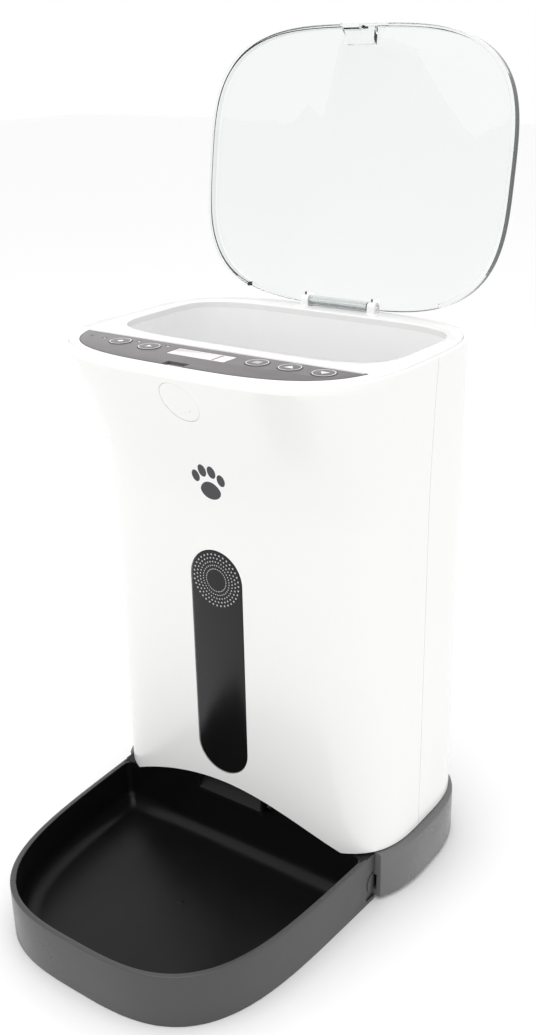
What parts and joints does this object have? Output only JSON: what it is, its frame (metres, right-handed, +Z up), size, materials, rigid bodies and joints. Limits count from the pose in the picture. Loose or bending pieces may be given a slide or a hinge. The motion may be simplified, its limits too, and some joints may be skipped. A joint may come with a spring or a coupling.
{
  "type": "automatic pet feeder",
  "caption": "Tower-shaped automatic pet feeder with an open clear lid, a control panel on its flared top, a food hopper and rotor inside, and a docked dry-food tray in front.",
  "frame": {"origin": "on the ground, under the middle of the whole feeder's box with the lid open and the tray docked", "axes": "+Z up, -Y towards the tray and control panel, which is the front, and +X to the right of a viewer who stands in front and looks along +Y"},
  "size_m": [0.2038, 0.2754, 0.4595],
  "materials": {
    "white_abs": "glossy moulded white",
    "grey_abs": "satin moulded dark grey",
    "panel_grey": "satin warm grey",
    "gloss_black": "polished black",
    "clear_plastic": "clear moulded plastic",
    "nylon": "natural nylon",
    "black_plastic": "matt black",
    "rubber": "matt",
    "steel": "bright",
    "brass": "bright",
    "circuit_board": "solder mask green",
    "cell_wrap": "printed foil wrap, no lettering"
  },
  "bodies": {
    "housing": {"front_shell": "white_abs", "rear_shell": "white_abs", "top_frame": "white_abs", "hopper": "white_abs", "base_housing": "grey_abs", "base_plate": "grey_abs", "chute": "grey_abs", "control_panel": "panel_grey", "front_window": "gloss_black", "lcd_window": "clear_plastic", "status_light_1": "clear_plastic", "status_light_2": "clear_plastic", "status_light_3": "clear_plastic", "rotor_housing": "nylon", "lcd_module": "black_plastic", "microphone": "black_plastic", "speaker": "black_plastic", "latch_bracket": "black_plastic", "gear_plate": "black_plastic", "drop_sensor_emitter": "black_plastic", "drop_sensor_receiver": "black_plastic", "battery_case": "black_plastic", "dc_jack": "black_plastic", "foot_1": "rubber", "foot_2": "rubber", "foot_3": "rubber", "foot_4": "rubber", "base_screw_1": "steel", "base_screw_2": "steel", "base_screw_3": "steel", "base_screw_4": "steel", "lid_hinge_pin": "steel", "release_spring": "steel", "idler_axle": "steel", "feed_motor": "steel", "battery_spring_1": "steel", "battery_spring_2": "steel", "battery_spring_3": "steel", "battery_contact": "brass", "control_board": "circuit_board", "power_board": "circuit_board", "battery_1": "cell_wrap", "battery_2": "cell_wrap", "battery_3": "cell_wrap"},
    "lid_body": {"lid": "clear_plastic"},
    "release_button": {"lid_release_button": "white_abs"},
    "record_key_body": {"record_key": "panel_grey"},
    "play_key_body": {"play_key": "panel_grey"},
    "set_key_body": {"set_key": "panel_grey"},
    "up_key_body": {"up_key": "panel_grey"},
    "down_key_body": {"down_key": "panel_grey"},
    "rotor": {"feed_rotor": "nylon", "rotor_shaft": "steel", "drive_gear": "nylon"},
    "idler": {"idler_gear": "nylon"},
    "pinion": {"motor_pinion": "brass"},
    "battery_cover": {"battery_door": "grey_abs"},
    "tray": {"feeding_tray": "grey_abs"},
    "latch_right": {"tray_latch_right": "grey_abs"},
    "latch_left": {"tray_latch_left": "grey_abs"}
  },
  "joints": [
    {"name": "lid_hinge", "type": "hinge", "parent": "housing", "child": "lid_body", "pos_m": [0, 0.11148, 0.3114], "axis": [1, 0, 0], "range_deg": [0, 98.5]},
    {"name": "release_button_push", "type": "slide", "parent": "housing", "child": "release_button", "axis": [0, 1, 0], "range_m": [0, 0.0025], "stiffness_N_per_m": 400, "springref_m": -0.001, "deforming": ["release_spring"]},
    {"name": "record_key_press", "type": "slide", "parent": "housing", "child": "record_key_body", "axis": [0, 0, -1], "range_m": [0, 0.0005], "stiffness_N_per_m": 800, "springref_m": -0.0005},
    {"name": "play_key_press", "type": "slide", "parent": "housing", "child": "play_key_body", "axis": [0, 0, -1], "range_m": [0, 0.0005], "stiffness_N_per_m": 800, "springref_m": -0.0005},
    {"name": "set_key_press", "type": "slide", "parent": "housing", "child": "set_key_body", "axis": [0, 0, -1], "range_m": [0, 0.0005], "stiffness_N_per_m": 800, "springref_m": -0.0005},
    {"name": "up_key_press", "type": "slide", "parent": "housing", "child": "up_key_body", "axis": [0, 0, -1], "range_m": [0, 0.0005], "stiffness_N_per_m": 800, "springref_m": -0.0005},
    {"name": "down_key_press", "type": "slide", "parent": "housing", "child": "down_key_body", "axis": [0, 0, -1], "range_m": [0, 0.0005], "stiffness_N_per_m": 800, "springref_m": -0.0005},
    {"name": "rotor_spin", "type": "hinge", "parent": "housing", "child": "rotor", "pos_m": [0, 0.05528, 0.09], "axis": [0, 0, 1], "continuous": true},
    {"name": "idler_spin", "type": "hinge", "parent": "housing", "child": "idler", "pos_m": [0.02706, 0.07091, 0.077], "axis": [0, 0, 1], "continuous": true},
    {"name": "pinion_spin", "type": "hinge", "parent": "housing", "child": "pinion", "pos_m": [0.01831, 0.08606, 0.077], "axis": [0, 0, 1], "continuous": true},
    {"name": "battery_door_slide", "type": "slide", "parent": "housing", "child": "battery_cover", "axis": [0, 1, 0], "range_m": [0, 0.0055]},
    {"name": "tray_slide", "type": "slide", "parent": "housing", "child": "tray", "axis": [0, -1, 0], "range_m": [0, 0.06]},
    {"name": "tray_latch_right_press", "type": "slide", "parent": "tray", "child": "latch_right", "axis": [-1, 0, 0], "range_m": [0, 0.0025], "stiffness_N_per_m": 400, "springref_m": -0.0005},
    {"name": "tray_latch_left_press", "type": "slide", "parent": "tray", "child": "latch_left", "axis": [1, 0, 0], "range_m": [0, 0.0025], "stiffness_N_per_m": 400, "springref_m": -0.0005}
  ],
  "couplings": [
    {"joint": "idler_spin", "follows": "rotor_spin", "ratio": -1.7778},
    {"joint": "pinion_spin", "follows": "rotor_spin", "ratio": 3.2}
  ]
}
